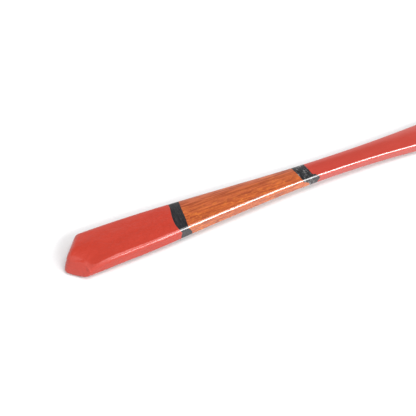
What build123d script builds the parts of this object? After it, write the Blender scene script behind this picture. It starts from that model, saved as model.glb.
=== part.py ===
from build123d import *
import os
from math import asin, cos, degrees, radians, sin, sqrt, tan

# Hive tool: a flared steel scraper with a slender lacquered wooden handle.
# +X runs from the pointed butt of the handle to the cutting edge, +Y to the left, +Z up.
# The origin is under the middle of the tool, at the height of what it lies on.
# A station is a distance along the tool from the sharp, unrounded point of the butt, taken
# at the middle of the handle's thickness.

os.makedirs("parts", exist_ok=True)

# Overall lengths
handle_length = 223.0
blade_length = 74.0
bolster_length = 11.0

# Handle outline, seen from above
butt_width = 24.0
butt_point_length = 9.8
butt_tip_radius = 2.5
butt_corner_radius = 3.0
shoulder_radius = 720.0
taper_angle = 3.33
waist_width = 12.4
waist_radius = 812.0

# The butt's point: two facets cut by hand, so it lies off the middle and they lean back
# from upright by different angles. Low down, the rounded point reaches behind station 0.
point_offset = -1.8
left_facet_lean = 12.0
right_facet_lean = 30.0
point_overhang = 0.8

# Handle section: thickness of its edges, the crown on both faces and the edge rounding
butt_edge_thickness = 7.7
waist_edge_thickness = 4.6
neck_edge_thickness = 5.0
thickness_taper_power = 1.5
crown = 0.45
edge_radius = 1.1
arch_radius = 2625.0

# Coats and bands on the handle
coat_thickness = 0.3
dip_build = 0.15
dip_edge_station = 57.5
rear_band_width = 6.6
front_band_station = 132.1
front_band_width = 7.5

# Steel
steel_thickness = 2.5
tang_wall = 2.5
tang_end_station = 23.0
glue_gap = 0.1
edge_width = 40.0
edge_land_length = 4.0
edge_bow = 0.8
edge_corner_radius = 1.5
bevel_length = 10.0
edge_thickness = 0.5
bolster_bevel = 0.8

# Keyhole in the blade: for hanging the tool and for pulling nails
keyhole_radius = 4.0
keyhole_from_bolster = 16.0
nail_slot_length = 16.0
nail_slot_mouth = 3.6
nail_slot_end_width = 1.6

# Pins through the tang and rivets through the bolster
pin_diameter = 3.0
pin_stations = (41.0, 161.0, 206.0)
rivet_diameter = 3.0
rivet_spacing = 9.6

# Working blocks reach this far past the tool, and surfaces run this far past what they cut.
# The block that the handle is cut from is this high.
overreach = 30.0
margin = 2.0
block_height = 16.0

# Places worked out from the sizes above
tool_length = handle_length + blade_length
bolster_station = handle_length + bolster_length
middle_station = (tool_length - point_overhang) / 2

taper = radians(taper_angle)
arcs_drop = (shoulder_radius + waist_radius) * (1 - cos(taper))
straight_length = ((butt_width - waist_width) / 2 - arcs_drop) / sin(taper)
waist_station = (
    butt_point_length
    + (shoulder_radius + waist_radius) * sin(taper)
    + straight_length * cos(taper)
)

arch_end_angle = asin(handle_length / 2 / arch_radius)
end_height = blade_length * tan(arch_end_angle) + steel_thickness / 2 / cos(arch_end_angle)
arch_center_height = end_height - arch_radius * cos(arch_end_angle)


def at(station):
    """X of a station along the tool."""
    return station - middle_station


def mid_height(station):
    """Height of the handle's middle surface, a shallow arch."""
    from_middle = station - handle_length / 2
    return arch_center_height + sqrt(arch_radius**2 - from_middle**2)


def edge_half_thickness(station):
    """Half the thickness of the handle's edges: thick butt, thin waist, firmer neck."""
    if station < waist_station:
        share = (1 - station / waist_station) ** thickness_taper_power
        return (waist_edge_thickness + (butt_edge_thickness - waist_edge_thickness) * share) / 2
    share = ((station - waist_station) / (handle_length - waist_station)) ** 2
    return (waist_edge_thickness + (neck_edge_thickness - waist_edge_thickness) * share) / 2


def outline_half_width(station):
    """Half the width of the handle's outline between the butt's corners and its end."""
    shoulder_end = butt_point_length + shoulder_radius * sin(taper)
    waist_start = waist_station - waist_radius * sin(taper)
    if station < shoulder_end:
        along = station - butt_point_length
        return butt_width / 2 - shoulder_radius + sqrt(shoulder_radius**2 - along**2)
    if station < waist_start:
        fall = (station - shoulder_end) * tan(taper)
        return butt_width / 2 - shoulder_radius * (1 - cos(taper)) - fall
    along = station - waist_station
    return waist_width / 2 + waist_radius - sqrt(waist_radius**2 - along**2)


# The handle's form and the zones along it

form_start_station = -2 * margin
form_end_station = bolster_station + margin
form_sections = 14


def crowned_slab(grow):
    """The handle's crowned upper and lower faces, wider than its outline."""
    with BuildPart(mode=Mode.PRIVATE) as slab:
        for step in range(form_sections):
            share = step / (form_sections - 1)
            station = form_start_station + share * (form_end_station - form_start_station)
            half = edge_half_thickness(max(station, 0)) + grow
            width_here = outline_half_width(max(station, butt_point_length))
            # the crown carries on past the edge, on the same curve
            reach = width_here + margin
            drop = crown * (reach / width_here) ** 2
            middle = Plane(
                origin=(at(station), 0, mid_height(station)),
                x_dir=(0, 1, 0),
                z_dir=(1, 0, 0),
            )
            with BuildSketch(middle):
                with BuildLine():
                    low = half + crown - drop
                    ThreePointArc((-reach, low), (0, half + crown), (reach, low))
                    Line((reach, low), (reach, -low))
                    ThreePointArc((reach, -low), (0, -half - crown), (-reach, -low))
                    Line((-reach, -low), (-reach, low))
                make_face()
        loft()
    return slab.part


def outline_sketch(grow):
    """The handle's outline from above, running back past the butt and on to the bolster."""
    rear_angle = degrees(asin((butt_point_length + overreach) / shoulder_radius))
    reach_angle = taper_angle + degrees(asin((form_end_station - waist_station) / waist_radius))
    with BuildSketch(Plane.XY.offset(-margin), mode=Mode.PRIVATE) as outline:
        with BuildLine():
            shoulder = CenterArc(
                (at(butt_point_length), butt_width / 2 - shoulder_radius),
                shoulder_radius,
                90 + rear_angle,
                -rear_angle - taper_angle,
            )
            Line(shoulder @ 0, ((shoulder @ 0).X, 0))
            flank = PolarLine(shoulder @ 1, straight_length, -taper_angle)
            waist = JernArc(flank @ 1, flank % 1, waist_radius, reach_angle)
            Line(waist @ 1, ((waist @ 1).X, 0))
            mirror(about=Plane.XZ)
        make_face()
        if grow != 0:
            offset(amount=grow, kind=Kind.INTERSECTION)
    return outline.sketch


def facet_plane(side, lean, grow):
    """The plane of one facet of the butt's point, facing outwards; side 1 is the left one."""
    across = side * butt_width / 2 - point_offset
    facet_width = sqrt(butt_point_length**2 + across**2)
    outward = Vector(
        -side * across / facet_width * cos(radians(lean)),
        side * butt_point_length / facet_width * cos(radians(lean)),
        sin(radians(lean)),
    )
    sharp_point = Vector(at(0), point_offset, mid_height(0))
    return Plane(origin=sharp_point + outward * grow, z_dir=outward)


def upright_edges(block, station, across):
    """The edge of a block that passes a place in its outline, at the handle's middle."""
    place = Vertex(at(station), across, mid_height(0))
    return block.edges().filter_by(
        lambda edge: edge.bounding_box().size.Z > block_height / 2 and place.distance_to(edge) < margin
    )


def handle_form(grow):
    """The rounded handle, grown or shrunk on every side, running on through the bolster."""
    with BuildPart(mode=Mode.PRIVATE) as form:
        add(outline_sketch(grow))
        extrude(amount=block_height)
        for side, lean in ((1, left_facet_lean), (-1, right_facet_lean)):
            split(bisect_by=facet_plane(side, lean, grow), keep=Keep.BOTTOM)
        fillet(upright_edges(form, 0, point_offset), butt_tip_radius + grow)
        for side in (1, -1):
            corner = upright_edges(form, butt_point_length, side * butt_width / 2)
            fillet(corner, butt_corner_radius + grow)
        add(crowned_slab(grow), mode=Mode.INTERSECT)
        front_end = form.faces().sort_by(Axis.X)[-1]
        upper_face, lower_face = form.faces().sort_by(SortBy.AREA)[-2:]
        fillet(upper_face.edges() + lower_face.edges() - front_end.edges(), edge_radius + grow)
    return form.part


def zone(rear_line, front_line):
    """A tall block between two lines drawn across the handle."""
    with BuildPart(mode=Mode.PRIVATE) as block:
        with BuildSketch(Plane.XY.offset(-overreach)):
            with BuildLine():
                for line in (rear_line, front_line):
                    points = [(at(station), across) for station, across in line]
                    left, right = points[0], points[-1]
                    Line((left[0], overreach), left)
                    if len(points) > 2:
                        Spline(points)
                    else:
                        Line(left, right)
                    Line(right, (right[0], -overreach))
                for end, side in ((0, overreach), (-1, -overreach)):
                    Line((at(rear_line[end][0]), side), (at(front_line[end][0]), side))
            make_face()
        extrude(amount=2 * overreach)
    return block.part


def arch_point(angle, above):
    """X and Z of a point above the handle's middle surface, by its angle round the arch."""
    radius = arch_radius + above
    return (at(handle_length / 2) + radius * sin(angle), arch_center_height + radius * cos(angle))


def arch_arc(start_angle, end_angle, above):
    """An arc that follows the handle's middle surface at a set distance above it."""
    return ThreePointArc(
        arch_point(start_angle, above),
        arch_point((start_angle + end_angle) / 2, above),
        arch_point(end_angle, above),
    )


def along_blade(distance, above):
    """X and Z of a point on the flat blade, from where it leaves the handle."""
    start = arch_point(arch_end_angle, above)
    return (start[0] + distance * cos(arch_end_angle), start[1] - distance * sin(arch_end_angle))


def blade_plane(station):
    """A plane in the middle of the blade's thickness, square to the blade."""
    x, z = along_blade((station - handle_length) / cos(arch_end_angle), 0)
    return Plane(
        origin=(x, 0, z),
        x_dir=(cos(arch_end_angle), 0, -sin(arch_end_angle)),
        z_dir=(sin(arch_end_angle), 0, cos(arch_end_angle)),
    )


# Lines across the handle where one coat ends and the next begins, left side first.
# They were brushed by hand, so they wander a little.
dip_line = [
    (dip_edge_station + 2.4, 9.6),
    (dip_edge_station + 1.9, 5.6),
    (dip_edge_station + 0.6, 1.6),
    (dip_edge_station - 0.2, -3.4),
    (dip_edge_station + 0.2, -8.4),
    (dip_edge_station + 1.2, -10.4),
]
rear_band_line = [
    (dip_edge_station + rear_band_width + 1.6, 8.8),
    (dip_edge_station + rear_band_width - 1.0, -8.8),
]
front_band_rear_line = [
    (front_band_station - 0.4, 6.4),
    (front_band_station - 0.2, 2.0),
    (front_band_station + 0.1, -3.6),
    (front_band_station + 2.6, -6.2),
]
front_band_line = [
    (front_band_station + front_band_width - 0.2, 6.4),
    (front_band_station + front_band_width, -2.6),
    (front_band_station + front_band_width + 1.6, -4.4),
    (front_band_station + front_band_width + 2.4, -6.2),
]
handle_start = [(form_start_station, 1.0), (form_start_station, -1.0)]
handle_end = [(handle_length, 1.0), (handle_length, -1.0)]
bolster_end = [(bolster_station, 1.0), (bolster_station, -1.0)]

surface_form = handle_form(0)
core_form = handle_form(-coat_thickness)
dip_form = handle_form(dip_build)
bare_wood_zone = zone(rear_band_line, front_band_rear_line)

arch_start_angle = -asin((handle_length / 2 + margin) / arch_radius)


# Tang: a flat strip inside the handle, following its outline and its arch


def tang_form(gap):
    """The tang, or with a gap the channel routed for it."""
    with BuildPart(mode=Mode.PRIVATE) as tang:
        with BuildSketch(Plane.XY.offset(-margin)):
            add(outline_sketch(gap - tang_wall))
            with Locations((at((tang_end_station - gap + handle_length) / 2), 0)):
                span = handle_length - tang_end_station + gap
                Rectangle(span, butt_width + overreach, mode=Mode.INTERSECT)
        extrude(amount=2 * overreach)
        with BuildSketch(Plane.XZ):
            with BuildLine():
                half = steel_thickness / 2 + gap
                low = arch_arc(arch_start_angle, arch_end_angle, -half)
                high = arch_arc(arch_start_angle, arch_end_angle, half)
                Line(low @ 0, high @ 0)
                Line(low @ 1, high @ 1)
            make_face()
        extrude(amount=overreach, both=True, mode=Mode.INTERSECT)
    return tang.part


# Steel blade with its tang, cut from one strip: bevelled edge in front, keyhole in the middle

blade_run = blade_length / cos(arch_end_angle)
bevel_slope = (steel_thickness - edge_thickness) / bevel_length
# the side profile runs on past the edge, but not to where the bevel meets the underside
past_edge = edge_thickness / bevel_slope / 2

with BuildPart() as blade:
    with BuildSketch(Plane.XY.offset(-overreach)) as blade_outline:
        with BuildLine():
            neck = ThreePointArc(
                (at(handle_length), outline_half_width(handle_length)),
                (
                    at(handle_length + bolster_length / 2),
                    outline_half_width(handle_length + bolster_length / 2),
                ),
                (at(bolster_station), outline_half_width(bolster_station)),
            )
            flare = TangentArc(
                neck @ 1, (at(tool_length - edge_land_length), edge_width / 2), tangent=neck % 1
            )
            land = Line(flare @ 1, (at(tool_length - edge_bow), edge_width / 2))
            # the edge is ground to a slight bow
            bow_radius = ((edge_width / 2) ** 2 + edge_bow**2) / (2 * edge_bow)
            quarter = edge_width / 4
            quarter_back = bow_radius - sqrt(bow_radius**2 - quarter**2)
            ThreePointArc(land @ 1, (at(tool_length - quarter_back), quarter), (at(tool_length), 0))
            Line((at(tool_length), 0), (at(handle_length), 0))
            Line((at(handle_length), 0), neck @ 0)
        make_face()
        mirror(about=Plane.XZ)
        edge_corners = blade_outline.vertices().filter_by(
            lambda v: abs(v.X - at(tool_length - edge_bow)) < 0.01
        )
        fillet(edge_corners, edge_corner_radius)
    extrude(amount=2 * overreach)
    with BuildSketch(Plane.XZ):
        with BuildLine():
            half = steel_thickness / 2
            bottom = Line(along_blade(-margin, -half), along_blade(blade_run + past_edge, -half))
            bevel_start = along_blade(blade_run - bevel_length, half)
            bevel_end_above = half - bevel_slope * (bevel_length + past_edge)
            front = Line(bottom @ 1, along_blade(blade_run + past_edge, bevel_end_above))
            Polyline(front @ 1, bevel_start, along_blade(-margin, half), bottom @ 0)
        make_face()
    extrude(amount=overreach, both=True, mode=Mode.INTERSECT)
    add(tang_form(0))
    with BuildSketch(blade_plane(bolster_station + keyhole_from_bolster)):
        Circle(keyhole_radius)
        with BuildLine():
            slot_tip = nail_slot_length - nail_slot_end_width / 2
            Polyline(
                (0, nail_slot_mouth / 2),
                (slot_tip, nail_slot_end_width / 2),
                (slot_tip, -nail_slot_end_width / 2),
                (0, -nail_slot_mouth / 2),
                close=True,
            )
        make_face()
        with Locations((slot_tip, 0)):
            Circle(nail_slot_end_width / 2)
    extrude(amount=steel_thickness, both=True, mode=Mode.SUBTRACT)
    with Locations([(at(station), 0, mid_height(station)) for station in pin_stations]):
        Cylinder((pin_diameter + glue_gap) / 2, 2 * steel_thickness, mode=Mode.SUBTRACT)
    with BuildSketch(blade_plane(handle_length + bolster_length / 2)):
        with Locations((0, rivet_spacing / 2), (0, -rivet_spacing / 2)):
            Circle(rivet_diameter / 2)
    extrude(amount=steel_thickness, both=True, mode=Mode.SUBTRACT)
blade.part.label = "blade"
export_step(blade.part, "parts/blade.step")


# Wooden scales: two halves glued round the tang, left proud where the wood shows

tang_channel = tang_form(glue_gap)


def arch_block(side):
    """Everything above (side 1) or below (side -1) the handle's middle surface."""
    with BuildPart(mode=Mode.PRIVATE) as block:
        with BuildSketch(Plane.XZ):
            with BuildLine():
                joint = arch_arc(arch_start_angle, arch_end_angle, 0)
                rear_top = ((joint @ 0).X, side * overreach)
                front_top = ((joint @ 1).X, side * overreach)
                Polyline(joint @ 0, rear_top, front_top, joint @ 1)
            make_face()
        extrude(amount=overreach, both=True)
    return block.part


def scale(side):
    """One half of the wooden handle."""
    with BuildPart(mode=Mode.PRIVATE) as half:
        add(surface_form)
        add(bare_wood_zone, mode=Mode.INTERSECT)
        add(core_form)
        add(zone(handle_start, handle_end), mode=Mode.INTERSECT)
        add(arch_block(side), mode=Mode.INTERSECT)
        add(tang_channel, mode=Mode.SUBTRACT)
        with Locations([(at(station), 0, mid_height(station)) for station in pin_stations]):
            Cylinder((pin_diameter + glue_gap) / 2, overreach, mode=Mode.SUBTRACT)
    return half.part


with BuildPart() as upper_scale:
    add(scale(1))
upper_scale.part.label = "upper_scale"
export_step(upper_scale.part, "parts/upper_scale.step")

with BuildPart() as lower_scale:
    add(scale(-1))
lower_scale.part.label = "lower_scale"
export_step(lower_scale.part, "parts/lower_scale.step")


# Steel pins driven through the scales and the tang, ground flush and hidden under the coats

with BuildPart() as tang_pins:
    with Locations([(at(station), 0, mid_height(station)) for station in pin_stations]):
        Cylinder(pin_diameter / 2, overreach)
    add(core_form, mode=Mode.INTERSECT)
tang_pins.part.label = "tang_pins"
export_step(tang_pins.part, "parts/tang_pins.step")


# Butt dip: a thick coat over the pointed end, standing a little proud of its band

with BuildPart() as butt_dip:
    add(dip_form)
    add(zone(handle_start, dip_line), mode=Mode.INTERSECT)
    add(core_form, mode=Mode.SUBTRACT)
butt_dip.part.label = "butt_dip"
export_step(butt_dip.part, "parts/butt_dip.step")


def band(rear_line, front_line):
    """A coat that fills the recess round the core, flush with the bare wood."""
    with BuildPart(mode=Mode.PRIVATE) as coat:
        add(surface_form)
        add(zone(rear_line, front_line), mode=Mode.INTERSECT)
        add(core_form, mode=Mode.SUBTRACT)
    return coat.part


with BuildPart() as rear_band:
    add(band(dip_line, rear_band_line))
rear_band.part.label = "rear_band"
export_step(rear_band.part, "parts/rear_band.step")

with BuildPart() as front_band:
    add(band(front_band_rear_line, front_band_line))
front_band.part.label = "front_band"
export_step(front_band.part, "parts/front_band.step")

with BuildPart() as neck_coat:
    add(band(front_band_line, handle_end))
neck_coat.part.label = "neck_coat"
export_step(neck_coat.part, "parts/neck_coat.step")


# Bolster: two steel plates riveted to the faces of the blade where it leaves the handle


def bolster_plate(side):
    """One bolster plate, flush with the handle, with its front edge bevelled."""
    with BuildPart(mode=Mode.PRIVATE) as plate:
        add(surface_form)
        add(zone(handle_end, bolster_end), mode=Mode.INTERSECT)
        with BuildSketch(Plane.XZ):
            with BuildLine():
                face = Line(
                    along_blade(-margin, side * steel_thickness / 2),
                    along_blade(bolster_length + 2 * margin, side * steel_thickness / 2),
                )
                rear_top = ((face @ 0).X, side * overreach)
                front_top = ((face @ 1).X, side * overreach)
                Polyline(face @ 0, rear_top, front_top, face @ 1)
            make_face()
        extrude(amount=overreach, both=True, mode=Mode.INTERSECT)
        front_face = plate.faces().sort_by(Axis.X)[-1]
        outer_edge = front_face.edges().sort_by(Axis.Z)[-1 if side > 0 else 0]
        chamfer(outer_edge, bolster_bevel)
        with BuildSketch(blade_plane(handle_length + bolster_length / 2)):
            with Locations((0, rivet_spacing / 2), (0, -rivet_spacing / 2)):
                Circle(rivet_diameter / 2)
        extrude(amount=overreach, both=True, mode=Mode.SUBTRACT)
    return plate.part


with BuildPart() as upper_bolster:
    add(bolster_plate(1))
upper_bolster.part.label = "upper_bolster"
export_step(upper_bolster.part, "parts/upper_bolster.step")

with BuildPart() as lower_bolster:
    add(bolster_plate(-1))
lower_bolster.part.label = "lower_bolster"
export_step(lower_bolster.part, "parts/lower_bolster.step")

with BuildPart() as bolster_rivets:
    with BuildSketch(blade_plane(handle_length + bolster_length / 2)):
        with Locations((0, rivet_spacing / 2), (0, -rivet_spacing / 2)):
            Circle(rivet_diameter / 2)
    extrude(amount=overreach, both=True)
    add(surface_form, mode=Mode.INTERSECT)
bolster_rivets.part.label = "bolster_rivets"
export_step(bolster_rivets.part, "parts/bolster_rivets.step")
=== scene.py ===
import math

import bmesh
import bpy
import numpy as np
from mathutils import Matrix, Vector, noise


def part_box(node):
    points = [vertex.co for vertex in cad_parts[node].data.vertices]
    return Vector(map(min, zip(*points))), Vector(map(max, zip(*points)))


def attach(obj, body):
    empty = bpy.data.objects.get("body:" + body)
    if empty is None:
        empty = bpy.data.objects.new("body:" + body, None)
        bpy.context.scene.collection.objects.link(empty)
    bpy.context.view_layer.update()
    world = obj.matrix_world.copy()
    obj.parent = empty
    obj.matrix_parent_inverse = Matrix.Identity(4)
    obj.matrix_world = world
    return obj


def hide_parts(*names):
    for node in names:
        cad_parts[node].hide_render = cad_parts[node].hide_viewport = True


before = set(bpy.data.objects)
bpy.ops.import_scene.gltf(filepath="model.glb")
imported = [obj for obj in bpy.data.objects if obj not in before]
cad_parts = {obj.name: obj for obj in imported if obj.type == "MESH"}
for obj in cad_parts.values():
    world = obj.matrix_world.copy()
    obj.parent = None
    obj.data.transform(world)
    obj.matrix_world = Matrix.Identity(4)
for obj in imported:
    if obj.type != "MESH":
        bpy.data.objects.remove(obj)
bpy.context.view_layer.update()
scene = bpy.context.scene
scene.view_settings.view_transform = "Standard"


# ---------------------------------------------------------------------------------------
# Blade
# One strip of spring steel: a flared scraper with a single bevel, a keyhole for nails, and
# a narrow tang that follows the arch of the handle. It is ground lengthwise and its edges
# are eased on a belt. Everything else is fixed to it.
# Sizes are in millimetres. A station is a distance from the sharp point of the butt.

MM = 0.001

handle_length = 223.0
bolster_back, bolster_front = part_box("upper_bolster")
middle_station = handle_length - bolster_back.x / MM
bolster_station = bolster_front.x / MM + middle_station
tool_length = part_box("blade")[1].x / MM + middle_station

butt_width = 24.0
butt_point_length = 9.8
shoulder_radius = 720.0
taper = math.radians(3.33)
waist_width = 12.4
waist_radius = 812.0
arcs_drop = (shoulder_radius + waist_radius) * (1 - math.cos(taper))
flank_drop = (butt_width - waist_width) / 2 - arcs_drop
shoulder_end = butt_point_length + shoulder_radius * math.sin(taper)
waist_start = shoulder_end + flank_drop / math.tan(taper)
waist_station = waist_start + waist_radius * math.sin(taper)

steel_thickness = 2.5
arch_radius = 2625.0
arch_end = math.asin(handle_length / 2 / arch_radius)
blade_length = tool_length - handle_length
end_height = blade_length * math.tan(arch_end) + steel_thickness / 2 / math.cos(arch_end)


def mid_height(station):
    """Height of the middle of the tool: a shallow arch in the handle, straight in the blade."""
    along = np.minimum(station, handle_length) - handle_length / 2
    arch = np.sqrt(arch_radius**2 - along**2) - arch_radius * math.cos(arch_end)
    past = np.maximum(station - handle_length, 0)
    return end_height + arch - past * math.tan(arch_end)


def half_width(station):
    """Half the width of the handle's outline past the corners of the butt."""
    s = np.maximum(station, butt_point_length)
    along_shoulder = np.minimum(s - butt_point_length, 60)
    shoulder_fall = shoulder_radius - np.sqrt(shoulder_radius**2 - along_shoulder**2)
    shoulder = butt_width / 2 - shoulder_fall
    flank = butt_width / 2 - shoulder_radius * (1 - math.cos(taper)) - (s - shoulder_end) * math.tan(taper)
    waist = waist_width / 2 + waist_radius - np.sqrt(waist_radius**2 - (s - waist_station) ** 2)
    return np.where(s < shoulder_end, shoulder, np.where(s < waist_start, flank, waist))


def mesh_piece(name, points, faces):
    """A smooth-shaded Blender object from points in millimetres and lists of point numbers."""
    mesh = bpy.data.meshes.new(name)
    mesh.from_pydata([Vector(p) * MM for p in points], [], faces)
    work = bmesh.new()
    work.from_mesh(mesh)
    bmesh.ops.remove_doubles(work, verts=work.verts, dist=1e-7)
    bmesh.ops.dissolve_degenerate(work, edges=work.edges, dist=1e-7)
    bmesh.ops.recalc_face_normals(work, faces=work.faces)
    work.to_mesh(mesh)
    work.free()
    mesh.polygons.foreach_set("use_smooth", [True] * len(mesh.polygons))
    piece = bpy.data.objects.new(name, mesh)
    scene.collection.objects.link(piece)
    return piece


def keep_edges(piece, degrees):
    """Smooth shading that stays crisp at edges sharper than an angle."""
    piece.data.set_sharp_from_angle(angle=math.radians(degrees))


edge_width = (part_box("blade")[1].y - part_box("blade")[0].y) / MM
edge_land = 4.0
edge_bow = 0.8
edge_corner = 1.5
bevel_length = 10.0
edge_thickness = 0.5
tang_wall = 2.5
tang_end = 23.0
keyhole_radius = 4.0
keyhole_station = bolster_station + 16.0
slot_length = 16.0
slot_mouth = 3.6
slot_end_width = 1.6
eased_edge = 0.22


def flare_half_width(station):
    """Half the width of the blade in front of the bolster: one arc, tangent to the neck."""
    start = bolster_station
    start_half = half_width(start)
    slope = (start - waist_station) / math.sqrt(waist_radius**2 - (start - waist_station) ** 2)
    run = tool_length - edge_land - start
    rise = edge_width / 2 - start_half
    across = Vector((-slope, 1)).normalized()
    radius = (run**2 + rise**2) / (2 * (run * across.x + rise * across.y))
    centre_station, centre_y = start + radius * across.x, start_half + radius * across.y
    return centre_y - np.sqrt(radius**2 - (station - centre_station) ** 2)


def blade_outline():
    """The blade's outline from above and its keyhole, as loops of stations and widths."""
    near = [(s, half_width(s) - tang_wall) for s in np.linspace(tang_end, handle_length, 120)]
    near += [(s, half_width(s)) for s in np.linspace(handle_length, bolster_station, 8)]
    near += [(s, flare_half_width(s)) for s in np.linspace(bolster_station, tool_length - edge_land, 40)[1:]]
    corner_station = tool_length - edge_bow - edge_corner
    for turn in np.linspace(0, math.pi / 2, 8):
        corner_y = edge_width / 2 - edge_corner * (1 - math.cos(turn))
        near.append((corner_station + edge_corner * math.sin(turn), corner_y))
    bow_radius = ((edge_width / 2) ** 2 + edge_bow**2) / (2 * edge_bow)
    for y in np.linspace(edge_width / 2 - edge_corner - 0.4, 0, 16):
        near.append((tool_length - bow_radius + math.sqrt(bow_radius**2 - y * y), y))
    outline = near + [(s, -y) for s, y in reversed(near[:-1])]

    half_mouth = math.asin(slot_mouth / 2 / keyhole_radius)
    slot_tip = keyhole_station + slot_length - slot_end_width / 2
    keyhole = []
    for turn in np.linspace(half_mouth, 2 * math.pi - half_mouth, 56):
        keyhole.append((keyhole_station + keyhole_radius * math.cos(turn), keyhole_radius * math.sin(turn)))
    for turn in np.linspace(-math.pi / 2, math.pi / 2, 12):
        reach = slot_end_width / 2
        keyhole.append((slot_tip + reach * math.cos(turn), reach * math.sin(turn)))
    return outline, keyhole


def steel_plate():
    """The blade as a flat plate with eased edges, then ground to its bevel and bent to the arch."""
    curve = bpy.data.curves.new("blade_outline", "CURVE")
    curve.dimensions = "2D"
    curve.fill_mode = "BOTH"
    for loop in blade_outline():
        spline = curve.splines.new("POLY")
        spline.points.add(len(loop) - 1)
        for point, (s, y) in zip(spline.points, loop):
            point.co = (s, y, 0, 1)
        spline.use_cyclic_u = True
    curve.extrude = steel_thickness / 2 - eased_edge
    curve.bevel_depth = eased_edge
    curve.bevel_resolution = 3
    curve.offset = -eased_edge
    flat = bpy.data.objects.new("flat_plate", curve)
    scene.collection.objects.link(flat)
    mesh = bpy.data.meshes.new_from_object(flat.evaluated_get(bpy.context.evaluated_depsgraph_get()))
    bpy.data.objects.remove(flat)

    work = bmesh.new()
    work.from_mesh(mesh)
    bmesh.ops.remove_doubles(work, verts=work.verts, dist=1e-4)
    cuts = list(np.arange(tang_end + 8, handle_length, 8)) + [handle_length]
    cuts += list(np.arange(tool_length - bevel_length, tool_length - 1, 1.0))
    for cut in cuts:
        everything = work.verts[:] + work.edges[:] + work.faces[:]
        bmesh.ops.bisect_plane(work, geom=everything, plane_co=(cut, 0, 0), plane_no=(1, 0, 0))
    bevel_slope = (steel_thickness - edge_thickness) / bevel_length
    for vert in work.verts:
        s, y, z = vert.co
        ground = max(s - (tool_length - bevel_length), 0) * bevel_slope
        above = (z + steel_thickness / 2) * (1 - ground / steel_thickness) - steel_thickness / 2
        tilt = math.asin(min(s - handle_length / 2, handle_length / 2) / arch_radius)
        vert.co = (s - middle_station + above * math.sin(tilt), y, mid_height(s) + above * math.cos(tilt))
    work.verts.index_update()
    points = [tuple(v.co) for v in work.verts]
    faces = [[v.index for v in f.verts] for f in work.faces]
    work.free()
    return mesh_piece("blade_steel", points, faces)


def drill(piece, stations, across, diameter):
    """Holes right through a piece, square to the tool's middle surface."""
    for station in stations:
        for y in across:
            bpy.ops.mesh.primitive_cylinder_add(vertices=48, radius=diameter / 2 * MM, depth=30 * MM)
            bit = bpy.context.object
            bit.location = Vector((station - middle_station, y, float(mid_height(station)))) * MM
            from_middle = min(station - handle_length / 2, handle_length / 2)
            bit.rotation_euler.y = math.asin(from_middle / arch_radius)
            cut = piece.modifiers.new("drill", "BOOLEAN")
            cut.operation = "DIFFERENCE"
            cut.solver = "EXACT"
            cut.object = bit
            bpy.context.view_layer.objects.active = piece
            bpy.ops.object.modifier_apply(modifier=cut.name)
            bpy.data.objects.remove(bit)


pin_stations = (41.0, 161.0, 206.0)
pin_diameter = 3.0
glue_gap = 0.1
rivet_station = handle_length + (bolster_station - handle_length) / 2
rivet_across = (4.8, -4.8)
rivet_diameter = 3.0

blade = steel_plate()
drill(blade, pin_stations, (0,), pin_diameter + glue_gap)
drill(blade, (rivet_station,), rivet_across, rivet_diameter)
keep_edges(blade, 30)

# Streaks: noise drawn out by a different amount along each axis. Ground steel, wood, brushed
# lacquer and dipped paint all use it, each with its own stretch.
streaks = bpy.data.node_groups.new("streaks", "ShaderNodeTree")
streaks.interface.new_socket("Stretch", in_out="INPUT", socket_type="NodeSocketVector")
streaks.interface.new_socket("Detail", in_out="INPUT", socket_type="NodeSocketFloat")
streaks.interface.new_socket("Swirl", in_out="INPUT", socket_type="NodeSocketFloat")
streaks.interface.new_socket("Low", in_out="INPUT", socket_type="NodeSocketFloat")
streaks.interface.new_socket("High", in_out="INPUT", socket_type="NodeSocketFloat")
streaks.interface.new_socket("Mask", in_out="OUTPUT", socket_type="NodeSocketFloat")
streak_in = streaks.nodes.new("NodeGroupInput")
streak_out = streaks.nodes.new("NodeGroupOutput")
streak_place = streaks.nodes.new("ShaderNodeTexCoord")
streak_stretch = streaks.nodes.new("ShaderNodeVectorMath")
streak_stretch.operation = "MULTIPLY"
streak_noise = streaks.nodes.new("ShaderNodeTexNoise")
streak_noise.inputs["Scale"].default_value = 1.0
streak_noise.inputs["Roughness"].default_value = 0.62
streak_range = streaks.nodes.new("ShaderNodeMapRange")
streak_range.interpolation_type = "SMOOTHSTEP"
streaks.links.new(streak_place.outputs["Object"], streak_stretch.inputs[0])
streaks.links.new(streak_in.outputs["Stretch"], streak_stretch.inputs[1])
streaks.links.new(streak_stretch.outputs[0], streak_noise.inputs["Vector"])
streaks.links.new(streak_in.outputs["Detail"], streak_noise.inputs["Detail"])
streaks.links.new(streak_in.outputs["Swirl"], streak_noise.inputs["Distortion"])
streaks.links.new(streak_noise.outputs["Fac"], streak_range.inputs["Value"])
streaks.links.new(streak_in.outputs["Low"], streak_range.inputs["From Min"])
streaks.links.new(streak_in.outputs["High"], streak_range.inputs["From Max"])
streaks.links.new(streak_range.outputs["Result"], streak_out.inputs["Mask"])


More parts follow.
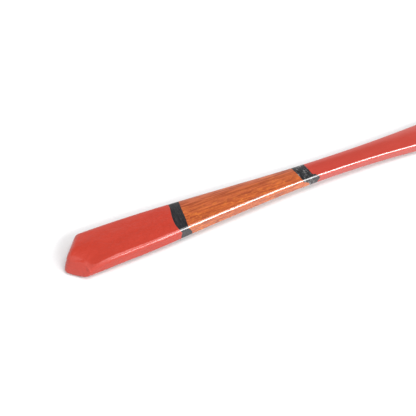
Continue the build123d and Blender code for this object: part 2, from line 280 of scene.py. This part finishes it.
class Finish:
    """A material with its Principled BSDF, and the few kinds of node that its finish is made of."""

    def __init__(self, name):
        self.material = bpy.data.materials.new(name)
        self.material.use_nodes = True
        self.nodes = self.material.node_tree.nodes
        self.link = self.material.node_tree.links.new
        self.shader = self.nodes["Principled BSDF"]

    def set(self, **values):
        """Set the shader's own sockets."""
        for name, value in values.items():
            self.shader.inputs[name.replace("_", " ")].default_value = value

    def streaks(self, stretch, detail=4.0, swirl=0.0, low=0.3, high=0.7):
        """A mask from the streaks group: stretch is in waves per metre along each axis."""
        group = self.nodes.new("ShaderNodeGroup")
        group.node_tree = streaks
        values = {"Stretch": stretch, "Detail": detail, "Swirl": swirl, "Low": low, "High": high}
        for name, value in values.items():
            group.inputs[name].default_value = value
        return group.outputs["Mask"]

    def mix(self, factor, a, b, blend="MIX"):
        """A colour between two, or one laid over the other; each is a colour or a socket."""
        mix = self.nodes.new("ShaderNodeMix")
        mix.data_type = "RGBA"
        mix.blend_type = blend
        for name, value in (("Factor", factor), ("A", a), ("B", b)):
            socket = [s for s in mix.inputs if s.name == name and s.enabled][0]
            if isinstance(value, bpy.types.NodeSocket):
                self.link(value, socket)
            elif isinstance(value, tuple):
                socket.default_value = (*value, 1)
            else:
                socket.default_value = value
        return [s for s in mix.outputs if s.enabled][0]

    def range(self, value, start, end, low, high):
        """A value carried from one range to another."""
        ranged = self.nodes.new("ShaderNodeMapRange")
        self.link(value, ranged.inputs["Value"])
        for name, number in (("From Min", start), ("From Max", end), ("To Min", low), ("To Max", high)):
            ranged.inputs[name].default_value = number
        return ranged.outputs["Result"]

    def maths(self, operation, a, b):
        """Two values put together."""
        maths = self.nodes.new("ShaderNodeMath")
        maths.operation = operation
        for socket, value in zip(maths.inputs, (a, b)):
            if isinstance(value, bpy.types.NodeSocket):
                self.link(value, socket)
            else:
                socket.default_value = value
        return maths.outputs[0]

    def place(self):
        """The object's own coordinates: X, Y and Z sockets."""
        where = self.nodes.new("ShaderNodeTexCoord")
        split = self.nodes.new("ShaderNodeSeparateXYZ")
        self.link(where.outputs["Object"], split.inputs[0])
        return split.outputs

    def relief(self, height, depth, over=None):
        """A bump of a depth in metres, laid over another one."""
        bump = self.nodes.new("ShaderNodeBump")
        bump.inputs["Strength"].default_value = 1.0
        bump.inputs["Distance"].default_value = depth
        self.link(height, bump.inputs["Height"])
        if over:
            self.link(over, bump.inputs["Normal"])
        return bump.outputs["Normal"]


def ground_steel(name, bright, dull, low, high, stretch):
    """Bare steel with fine lines along the grind, smudges across it and a satin shine."""
    finish = Finish(name)
    lines = finish.streaks(stretch, detail=6.0)
    smudges = finish.streaks((40, 60, 60), detail=3.0, swirl=1.0)
    colour = finish.mix(lines, dull, bright)
    colour = finish.mix(finish.range(smudges, 0, 1, 0, 0.35), colour, tuple(c * 0.72 for c in dull))
    finish.link(colour, finish.shader.inputs["Base Color"])
    rough = finish.maths("ADD", finish.range(lines, 0, 1, low, high), finish.range(smudges, 0, 1, 0, 0.12))
    finish.link(rough, finish.shader.inputs["Roughness"])
    finish.link(finish.relief(lines, 0.000012), finish.shader.inputs["Normal"])
    finish.set(Metallic=1.0)
    return finish.material


blade.data.materials.append(
    ground_steel("ground_blade", (0.62, 0.61, 0.59), (0.47, 0.47, 0.46), 0.22, 0.40, (160, 5200, 5200))
)
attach(blade, "root")
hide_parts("blade")


# ---------------------------------------------------------------------------------------
# Handle scales
# Two halves of orange-brown wood glued round the tang and shaped together. The butt is sawn
# to a point by two facets that lean in towards the top. The wood is relieved by one coat's
# thickness wherever a band or a red coat goes on, and clear lacquered in between.

edge_ease = 1.0
lower_ease = 0.7
butt_ease = 1.9
crown = 0.45
butt_edge, waist_edge, neck_edge = 7.7, 4.6, 5.0
coat = 0.3
point_across = -1.8
left_lean, right_lean = math.radians(12.0), math.radians(30.0)
left_run, right_run = butt_width / 2 - point_across, butt_width / 2 + point_across
left_facet = math.hypot(butt_point_length, left_run)
right_facet = math.hypot(butt_point_length, right_run)
tip_blend, corner_blend = 2.7, 1.2

# the near upper corner of the butt is worn down: how deep, from which station and width on
droop = 2.4
droop_station, droop_length = 24, 20
droop_side, droop_width = 3, 14


def edge_half(station):
    """Half the thickness of the handle's edges."""
    s = np.clip(station, 0, None)
    rear = np.clip(1 - s / waist_station, 0, 1) ** 1.5 * (butt_edge - waist_edge)
    front = (np.clip(s - waist_station, 0, None) / (handle_length - waist_station)) ** 2
    return (waist_edge + rear + front * (neck_edge - waist_edge)) / 2


def blended(a, b, reach):
    """The smaller of two distances, rounded where they cross."""
    h = np.clip(reach - np.abs(a - b), 0, None) / reach
    return np.minimum(a, b) - h * h * reach / 4


def eased(a, b, ease, hardness):
    """How much two faces cut off their shared edge: 2 gives a round, close to 1 a soft chamfer."""
    a, b = np.clip(ease - a, 1e-6, None), np.clip(ease - b, 1e-6, None)
    return ease - (a**hardness + b**hardness) ** (1 / hardness)


def smooth_share(value):
    """A share between 0 and 1 with soft ends."""
    share = np.clip(value, 0, 1)
    return share * share * (3 - 2 * share)


def butt_share(station):
    """How close a station is to the butt: 1 there, 0 at the rear band."""
    return smooth_share((52 - station) / 34)


def depth(station, y, z):
    """How deep a point lies under the handle's surface; z is measured from the middle."""
    left = (station * left_run - (y - point_across) * butt_point_length) / left_facet
    right = (station * right_run + (y - point_across) * butt_point_length) / right_facet
    left = (left - z * math.tan(left_lean)) * math.cos(left_lean)
    right = (right - z * math.tan(right_lean)) * math.cos(right_lean)
    around = blended(blended(left, right, tip_blend), half_width(station) - np.abs(y), corner_blend)
    face = edge_half(station) + crown * (1 - (y / half_width(station)) ** 2) - np.abs(z)
    worn = droop * smooth_share((droop_station - station) / droop_length)
    worn = worn * smooth_share((droop_side - y) / droop_width)
    face = face - np.where(z > 0, worn, 0)
    share = butt_share(station)
    upper = eased(around, face, edge_ease + (butt_ease - edge_ease) * share, 1.1 + 0.9 * share)
    lower = eased(around, face, lower_ease + (butt_ease - lower_ease) * share, 2.0)
    return np.where(z > 0, upper, lower)


def settled(station, y, z, level):
    """Points moved square to the surface until they lie at a depth."""
    step = 0.01
    for _ in range(14):
        here = depth(station, y, z)
        slope = np.stack(
            [
                depth(station + step, y, z) - here,
                depth(station, y + step, z) - here,
                depth(station, y, z + step) - here,
            ]
        ) / step
        size = np.clip((slope**2).sum(0), 0.25, None)
        move = np.clip(level - here, -0.8, 0.8) / size
        station, y, z = station + move * slope[0], y + move * slope[1], z + move * slope[2]
    return station, y, z


# Places round the section, from the middle of the upper face, over the right edge (-Y),
# along the lower face and up the left edge. `turn` counts 0 to 6: 1 and 5 are the upper
# edges, 2 and 4 the lower ones, 3 the middle of the lower face.
FLAT, ROUND, WALL = 0, 1, 2
flat_steps, round_steps, wall_steps = 14, 10, 12


def quarter():
    """From the middle of a face to the middle of a wall, as (kind, share, turn)."""
    places = [(FLAT, k / flat_steps, 0.9 * k / flat_steps) for k in range(flat_steps + 1)]
    places += [(ROUND, k / round_steps, 0.9 + 0.1 * k / round_steps) for k in range(1, round_steps + 1)]
    places += [(WALL, k / wall_steps, 1 + k / wall_steps) for k in range(1, wall_steps // 2 + 1)]
    return places


upper_right = [(kind, share, turn, -1, 1) for kind, share, turn in quarter()]
lower_right = [(kind, share, 3 - turn, -1, -1) for kind, share, turn in reversed(quarter()[:-1])]
upper_left = [(kind, share, 6 - turn, 1, 1) for kind, share, turn in reversed(quarter()[1:-1])]
lower_left = [(kind, share, 3 + turn, 1, -1) for kind, share, turn in quarter()[1:]]
ring = upper_right + lower_right + lower_left + upper_left
ring_kind, ring_share, ring_turn, ring_side, ring_face = (np.array(c, float) for c in zip(*ring))


def surface(station, grow, places=slice(None)):
    """Points of the handle's surface, grown by a thickness, at places round its section."""
    kind, share = ring_kind[places], ring_share[places]
    side, face = ring_side[places], ring_face[places]
    station = np.broadcast_to(station, kind.shape).astype(float)
    grow = np.broadcast_to(grow, kind.shape).astype(float)
    radius = edge_ease + (butt_ease - edge_ease) * butt_share(station)
    outline = np.clip(half_width(station) * np.minimum((station + grow) / butt_point_length, 1), 0, None)
    shelf = np.minimum(radius, outline * 0.6)
    bow = share * math.pi / 2
    across = np.where(kind == FLAT, share * (outline - shelf), outline - shelf + shelf * np.sin(bow))
    across = np.where(kind == WALL, outline, across)
    half = edge_half(station)
    round_height = half - radius * (1 - np.cos(bow))
    wall_height = (half - radius) * (1 - 2 * share)
    height = np.where(kind == FLAT, half, np.where(kind == ROUND, round_height, wall_height))
    y = side * across + point_across * np.clip(1 - station / butt_point_length, 0, 1.2)
    z = face * height
    end = np.clip((30 - station) / 18, 0, 1)
    rightness = np.clip(0.5 - (y - point_across * end) / 4, 0, 1)
    lean = 0.26 + rightness * (0.80 - 0.26)
    s, y, z = settled(station + z * lean * end, y, z, -grow)
    return np.stack([s - middle_station, y, mid_height(s) + z], -1)


def brushed_line(*stations):
    """A hand-brushed line round the handle: (turn, station) pairs joined by a smooth curve."""
    turns, values = zip(*stations)
    count = len(turns)
    turns, values = np.array(turns), np.array(values)
    result = np.zeros_like(ring_turn)
    for j, t in enumerate(ring_turn % 6):
        k = int(np.searchsorted(turns, t, side="right")) - 1
        t0, t1 = turns[k], turns[k + 1] if k + 1 < count else turns[0] + 6
        v = [values[(k + i) % count] for i in (-1, 0, 1, 2)]
        f = (t - t0) / (t1 - t0)
        result[j] = v[1] + 0.5 * f * (
            v[2] - v[0] + f * (2 * v[0] - 5 * v[1] + 4 * v[2] - v[3] + f * (3 * (v[1] - v[2]) + v[3] - v[0]))
        )
    return result


dip_edge = brushed_line(
    (0.0, 57.9), (0.5, 57.3), (0.85, 57.7), (1.15, 58.9), (1.85, 58.3), (2.4, 58.7),
    (3.0, 58.1), (3.6, 58.8), (4.2, 59.7), (4.8, 60.0), (5.3, 59.8), (5.65, 58.9),
)
rear_band_edge = brushed_line(
    (0.0, 64.3), (0.5, 63.6), (0.95, 62.8), (1.15, 63.6), (1.85, 64.6), (2.4, 64.2),
    (3.0, 64.7), (3.6, 65.1), (4.2, 65.7), (4.8, 65.9), (5.3, 65.4), (5.65, 64.8),
)
front_band_back_edge = brushed_line(
    (0.0, 132.0), (0.5, 132.2), (0.92, 132.4), (1.15, 134.2), (1.6, 136.0), (2.1, 136.6),
    (2.6, 135.2), (3.2, 133.4), (3.8, 132.3), (4.4, 131.8), (5.1, 131.7), (5.6, 131.8),
)
front_band_edge = brushed_line(
    (0.0, 139.6), (0.45, 139.5), (0.62, 139.7), (0.74, 141.4), (0.84, 141.3), (0.95, 142.7),
    (1.3, 142.9), (1.85, 141.9),
    (2.4, 141.2), (3.0, 140.3), (3.8, 139.8), (4.4, 139.6), (5.1, 139.5), (5.6, 139.5),
)
handle_front = np.full_like(ring_turn, handle_length)


def butt_start(grow):
    """The first row of the handle, at the point, where every place falls on one line."""
    return np.full_like(ring_turn, -grow)


def rows_between(back, front, count, grow, power=1.0):
    """Rows of stations from one line to another, each with its growth."""
    shares = (np.arange(count + 1) / count) ** power
    return [(back + (front - back) * share, grow) for share in shares]


def tube_faces(rows, columns, rows_closed=False):
    """Quads of a grid of rows that runs round a section."""
    faces = []
    for i in range(rows if rows_closed else rows - 1):
        for j in range(columns):
            here, beside = i * columns + j, i * columns + (j + 1) % columns
            row_after = ((i + 1) % rows) * columns
            faces.append((here, row_after + j, row_after + (j + 1) % columns, beside))
    return faces


def core_rows():
    """The wooden core's rows: sunk under the coats, up to the surface between the bands."""
    rows = rows_between(butt_start(-coat), rear_band_edge, 60, -coat, 1.6)
    rows += rows_between(rear_band_edge, front_band_back_edge, 60, 0.0)
    rows += rows_between(front_band_back_edge, handle_front, 60, -coat)
    return rows


def scale(name, places, side):
    """One half of the handle: its outside and the half channel for the tang."""
    points = []
    for station, grow in core_rows():
        outside = surface(station[places], grow, places)
        first, last = outside[0], outside[-1]
        centre, room = (first[1] + last[1]) / 2, abs(last[1] - first[1]) / 2
        points += [tuple(p) for p in outside]
        for corner, deep in ((last, 0), (last, 1), (first, 1), (first, 0)):
            s = corner[0] + middle_station
            half = min(max(float(half_width(s)) - tang_wall + glue_gap, 0), room * 0.8)
            height = (steel_thickness / 2 + glue_gap) * deep if s > tang_end - glue_gap else 0.0
            y = centre + half * np.sign(corner[1] - centre)
            points.append((corner[0], y, float(mid_height(s)) + side * height))
    columns = len(places) + 4
    rows = len(points) // columns
    faces = tube_faces(rows, columns)
    faces.append([(rows - 1) * columns + j for j in range(columns)])
    return mesh_piece(name, points, faces)


wall_middle_right = int(np.argmin(np.abs(ring_turn - 1.5)))
wall_middle_left = int(np.argmin(np.abs(ring_turn - 4.5)))
lower_places = np.arange(wall_middle_right, wall_middle_left + 1)
upper_places = np.concatenate([np.arange(wall_middle_left, len(ring)), np.arange(0, wall_middle_right + 1)])
upper_scale = scale("wood_upper_scale", upper_places, 1)
lower_scale = scale("wood_lower_scale", lower_places, -1)


def lacquered_wood():
    """Orange-brown wood: growth lines, a painted reflection that pales it towards the far edge, a rippled
    figure with painted sheen in bright flecks along the near edge, short dark pores, clear lacquer.
    """
    finish = Finish("lacquered_wood")
    y = finish.place()[1]
    growth = finish.streaks((7, 130, 60), detail=2.0, low=0.35, high=0.65)
    # painted reflection: the wood turns paler towards the far (+Y) edge, with the growth lines mixed in
    far_reflection_and_growth = finish.maths("ADD", finish.range(y, -0.008, 0.008, 0, 0.75), finish.range(growth, 0, 1, 0, 0.25))
    colour = finish.mix(far_reflection_and_growth, (0.45, 0.092, 0.018), (0.45, 0.108, 0.044))
    lines = finish.streaks((75, 1150, 1150), detail=5.0, swirl=0.6, low=0.38, high=0.64)
    colour = finish.mix(finish.range(lines, 0, 1, 0, 0.85), colour, (0.225, 0.036, 0.009))
    # painted sheen: the rippled figure's bright orange flecks stand for the wood's shimmer, strongest along
    # the near (-Y) edge and in patches
    ripple_sheen = finish.streaks((330, 760, 760), detail=4.0, swirl=1.0, low=0.46, high=0.64)
    patches = finish.streaks((60, 160, 160), detail=2.0, low=0.35, high=0.65)
    near = finish.range(y, 0.007, -0.004, 0.05, 0.62)
    near = finish.maths("MULTIPLY", near, finish.range(patches, 0, 1, 0.3, 1))
    colour = finish.mix(finish.maths("MULTIPLY", ripple_sheen, near), colour, (0.72, 0.215, 0.034))
    pores = finish.streaks((300, 2600, 2600), detail=2.0, low=0.66, high=0.74)
    colour = finish.mix(finish.range(pores, 0, 1, 0, 0.85), colour, (0.05, 0.012, 0.005))
    finish.link(colour, finish.shader.inputs["Base Color"])
    finish.link(finish.range(lines, 0, 1, 0.42, 0.55), finish.shader.inputs["Roughness"])
    grain = finish.streaks((50, 420, 420), detail=3.0)
    finish.link(finish.relief(grain, 0.00002), finish.shader.inputs["Normal"])
    finish.set(Specular_IOR_Level=0.2, Coat_Weight=1.0, Coat_Roughness=0.03, Coat_IOR=1.65)
    return finish.material


wood = lacquered_wood()
for piece, cad_node in ((upper_scale, "upper_scale"), (lower_scale, "lower_scale")):
    drill(piece, pin_stations, (0,), pin_diameter)
    keep_edges(piece, 40)
    piece.data.materials.append(wood)
    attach(piece, "root")
    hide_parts(cad_node)


# ---------------------------------------------------------------------------------------
# Black bands
# Two bands brushed round the core in black lacquer, flush with the bare wood. Their edges
# were cut in by hand, and the brush has left streaks that run round the handle.


def sleeve(name, back, front, count):
    """A closed skin flush with the bare wood, one coat thick, between two brushed lines."""
    rows = rows_between(back, front, count, 0.0) + rows_between(front, back, count, -coat)
    points = []
    for station, grow in rows:
        points += [tuple(p) for p in surface(station, grow)]
    return mesh_piece(name, points, tube_faces(len(rows), len(ring), rows_closed=True))


def brushed_black():
    """Black lacquer with brush streaks across the handle, and grey flecks of brush marks whose brightness is
    a painted glint, mostly on the front band.
    """
    finish = Finish("black_band_lacquer")
    brush = finish.streaks((2600, 130, 130), detail=5.0, swirl=0.6, low=0.42, high=0.75)
    # painted glints: grey flecks on the brush marks, kept mostly to the front band
    brush_glint_flecks = finish.streaks((1100, 420, 420), detail=3.0, swirl=0.8, low=0.56, high=0.66)
    x = finish.place()[0]
    brush_glint_flecks = finish.maths("MULTIPLY", brush_glint_flecks, finish.range(x, -0.03, -0.02, 0.1, 1.0))
    colour = finish.mix(brush, (0.012, 0.012, 0.014), (0.034, 0.033, 0.035))
    colour = finish.mix(finish.range(brush_glint_flecks, 0, 1, 0, 0.8), colour, (0.24, 0.237, 0.24))
    finish.link(colour, finish.shader.inputs["Base Color"])
    finish.link(finish.range(brush, 0, 1, 0.30, 0.50), finish.shader.inputs["Roughness"])
    finish.link(finish.relief(brush, 0.00004), finish.shader.inputs["Normal"])
    finish.set(Specular_IOR_Level=0.25, Coat_Weight=1.0, Coat_Roughness=0.04)
    return finish.material


rear_band = sleeve("rear_black_band", dip_edge, rear_band_edge, 12)
front_band = sleeve("front_black_band", front_band_back_edge, front_band_edge, 14)
black = brushed_black()
for piece, cad_node in ((rear_band, "rear_band"), (front_band, "front_band")):
    keep_edges(piece, 40)
    piece.data.materials.append(black)
    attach(piece, "root")
    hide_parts(cad_node)


# ---------------------------------------------------------------------------------------
# Neck coat
# Red gloss lacquer from the front band to the bolster, brushed on one coat thick over the
# cut-back wood, flush with the band and smooth enough to carry a sharp highlight.


def red_paint(name, colour, deep, relief_depth, **values):
    """Red paint whose tone and skin wander a little, as a thick hand-laid coat does."""
    finish = Finish(name)
    clouds = finish.streaks((70, 190, 190), detail=3.0, swirl=0.5, low=0.25, high=0.75)
    skin = finish.streaks((420, 420, 420), detail=2.0, low=0.2, high=0.8)
    grit = finish.streaks((2600, 2600, 2600), detail=3.0, low=0.2, high=0.8)
    mottle = finish.maths("ADD", finish.range(clouds, 0, 1, 0, 0.6), finish.range(grit, 0, 1, 0, 0.4))
    finish.link(finish.mix(mottle, deep, colour), finish.shader.inputs["Base Color"])
    low = values.pop("roughness")
    finish.link(finish.range(skin, 0, 1, low, low + 0.08), finish.shader.inputs["Roughness"])
    orange_peel = finish.relief(skin, relief_depth)
    finish.link(finish.relief(grit, relief_depth / 8, orange_peel), finish.shader.inputs["Normal"])
    finish.set(**values)
    return finish.material


neck = sleeve("red_neck_coat", front_band_edge, handle_front, 90)
keep_edges(neck, 40)
neck.data.materials.append(
    red_paint(
        "red_neck_lacquer", (0.42, 0.044, 0.030), (0.385, 0.036, 0.022), 0.00002,
        roughness=0.42, Specular_IOR_Level=0.2, Coat_Weight=1.0, Coat_Roughness=0.03, Coat_IOR=1.65,
    )
)
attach(neck, "root")
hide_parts("neck_coat")


# ---------------------------------------------------------------------------------------
# Butt dip
# The pointed butt is dipped in thick red paint up to the rear band. It stands a little
# proud, has a rounded lip, softer edges than the wood, a lumpy skin with a few specks of
# grit in it, and a pad of paint gathered on the right facet.

dip_build = 0.15
lip_length = 0.5
speck_places = ((23.3, -4.5), (35.3, -6.0), (46.5, -4.9))


def skin_shift(point):
    """How far the dip's skin stands off a smooth one: slow lumps, specks and the facet's pad."""
    x, y, z = point
    station, height = x + middle_station, z - float(mid_height(x + middle_station))
    rise = 0.08 * noise.noise(Vector((x / 8, y / 6, z / 5))) - 0.09
    rise += 0.035 * noise.noise(Vector((x / 3.1 + 7, y / 2.6, z / 2.5)))
    for speck_station, speck_y in speck_places:
        away = math.hypot(station - speck_station, y - speck_y)
        rise += 0.09 * math.exp(-((away / 0.45) ** 2)) * (height > 0)
    along = (station * butt_point_length - (y - point_across) * right_run) / right_facet
    inward = (station * right_run + (y - point_across) * butt_point_length) / right_facet
    round_pad = math.hypot((along - 7.0) / 7.4, (height + 0.7) / 3.3)
    rim = math.exp(-(((round_pad - 0.93) / 0.10) ** 2)) * float(smooth_share((along + 1) / 8))
    pad = (0.12 * float(smooth_share((1.05 - round_pad) / 0.14)) + 0.26 * rim) * (inward < 3.5)
    pad_out = Vector((-right_run * 0.87, -butt_point_length * 0.87, right_facet * 0.5)) / right_facet
    return Vector((0, 0, 1 if height > 0 else -1)) * rise + pad_out * pad


def dip_surface():
    """The dip's outside and inside as rows of points, the outside lumpy."""
    outer = rows_between(butt_start(dip_build), dip_edge - lip_length, 130, dip_build, 1.6)
    for k in range(1, 6):
        angle = k / 5 * math.pi / 2
        outer.append((dip_edge - lip_length * (1 - math.sin(angle)), dip_build * math.cos(angle)))
    inner = rows_between(dip_edge, butt_start(-coat), 60, -coat)
    points = []
    for row, (station, grow) in enumerate(outer):
        for point in surface(station, grow):
            shift = skin_shift(point) * min(1, (len(outer) - 1 - row) / 8)
            points.append(tuple(Vector(point) + shift))
    for station, grow in inner:
        points += [tuple(p) for p in surface(station, grow)]
    return points, tube_faces(len(outer) + len(inner), len(ring))


butt = mesh_piece("red_butt_dip", *dip_surface())
keep_edges(butt, 60)
butt.data.materials.append(
    red_paint(
        "red_dip_paint", (0.43, 0.036, 0.020), (0.385, 0.028, 0.013), 0.00016,
        roughness=0.42, Specular_IOR_Level=0.25, Coat_Weight=0.65, Coat_Roughness=0.18, Coat_IOR=1.55,
    )
)
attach(butt, "root")
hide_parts("butt_dip")


# ---------------------------------------------------------------------------------------
# Tang pins
# Three steel pins driven through the scales and the tang and ground flush with the wood.
# All three lie under a red coat, so none of them shows.

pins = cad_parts["tang_pins"]
pins.data.materials.clear()
pins.data.materials.append(
    ground_steel("pin_steel", (0.50, 0.50, 0.49), (0.40, 0.40, 0.39), 0.3, 0.4, (900, 900, 900))
)


# ---------------------------------------------------------------------------------------
# Bolster and its rivets
# Two bright steel plates on the faces of the blade, flush with the end of the handle. Two
# rivets go through both plates and the blade, and are ground flush.

for name in ("upper_bolster", "lower_bolster", "bolster_rivets"):
    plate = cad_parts[name]
    plate.data.materials.clear()
    plate.data.materials.append(
        ground_steel(name + "_steel", (0.66, 0.65, 0.63), (0.55, 0.55, 0.54), 0.16, 0.28, (200, 5200, 5200))
    )


# ---------------------------------------------------------------------------------------
# Floor, lights and camera
# A white paper floor in a bright room. A long low lamp in front draws the line along the
# upper edge of the handle, and the upper face mirrors a dark wall behind.

bpy.ops.mesh.primitive_plane_add(size=6.0, location=(0, 0, 0))
floor = bpy.context.object
floor.name = "floor"
paper = Finish("floor_paper")
fibre = paper.streaks((900, 900, 900), detail=3.0)
paper.link(paper.mix(fibre, (0.74, 0.74, 0.745), (0.76, 0.76, 0.765)), paper.shader.inputs["Base Color"])
paper.set(Roughness=0.95, Specular_IOR_Level=0.1)
floor.data.materials.append(paper.material)

world = bpy.data.worlds.new("studio")
scene.world = world
world.use_nodes = True
sky = world.node_tree.nodes
join = world.node_tree.links.new
direction = sky.new("ShaderNodeTexCoord")
towards = sky.new("ShaderNodeSeparateXYZ")
join(direction.outputs["Generated"], towards.inputs[0])


def sky_maths(operation, a, b):
    """Two sky values put together."""
    maths = sky.new("ShaderNodeMath")
    maths.operation = operation
    for socket, value in zip(maths.inputs, (a, b)):
        if isinstance(value, bpy.types.NodeSocket):
            join(value, socket)
        else:
            socket.default_value = value
    return maths.outputs[0]


def sky_range(value, start, end, low, high):
    """A sky value carried softly from one range to another."""
    ranged = sky.new("ShaderNodeMapRange")
    ranged.interpolation_type = "SMOOTHSTEP"
    join(value, ranged.inputs["Value"])
    for name, number in (("From Min", start), ("From Max", end), ("To Min", low), ("To Max", high)):
        ranged.inputs[name].default_value = number
    return ranged.outputs["Result"]


# a bright room with a dark wall high up behind the tool, which its upper face mirrors
height = sky_maths("ADD", towards.outputs["Z"], sky_maths("MULTIPLY", towards.outputs["X"], 0.29))
behind = sky_range(towards.outputs["Y"], 0.05, 0.3, 0, 1)
wall = sky_maths("MULTIPLY", sky_range(height, 0.58, 0.77, 0, 1), behind)
join(sky_range(wall, 0, 1, 0.95, 0.05), sky["Background"].inputs["Color"])
sky["Background"].inputs["Strength"].default_value = 1.05


def area_light(name, azimuth, elevation, distance, size, power):
    """A soft light that faces the tool: size is along the tool and across it."""
    a, e = math.radians(azimuth), math.radians(elevation)
    away = Vector((math.sin(a) * math.cos(e), -math.cos(a) * math.cos(e), math.sin(e)))
    data = bpy.data.lights.new(name, "AREA")
    data.shape = "RECTANGLE"
    data.size, data.size_y = size
    data.energy = power
    lamp = bpy.data.objects.new(name, data)
    lamp.location = away * distance
    lamp.rotation_mode = "QUATERNION"
    lamp.rotation_quaternion = (-away).to_track_quat("-Z", "Y")
    scene.collection.objects.link(lamp)
    return lamp


area_light("key_light", 26.3, 34.8, 1.37, (1.25, 0.20), 15.5)
area_light("overhead_light", 26.3, 74, 1.4, (1.2, 0.7), 9)

camera_data = bpy.data.cameras.new("camera")
camera = bpy.data.objects.new("camera", camera_data)
scene.collection.objects.link(camera)
azimuth, elevation = math.radians(-26.29), math.radians(45.0)
back = Vector(
    (math.sin(azimuth) * math.cos(elevation), -math.cos(azimuth) * math.cos(elevation), math.sin(elevation))
)
aim = Vector((81.51 - middle_station, 6.32, 0)) * MM
camera.location = aim + back * 0.3726
camera.rotation_mode = "QUATERNION"
camera.rotation_quaternion = (-back).to_track_quat("-Z", "Y")
camera_data.lens = 60.44
camera_data.sensor_width = 36.0
scene.camera = camera
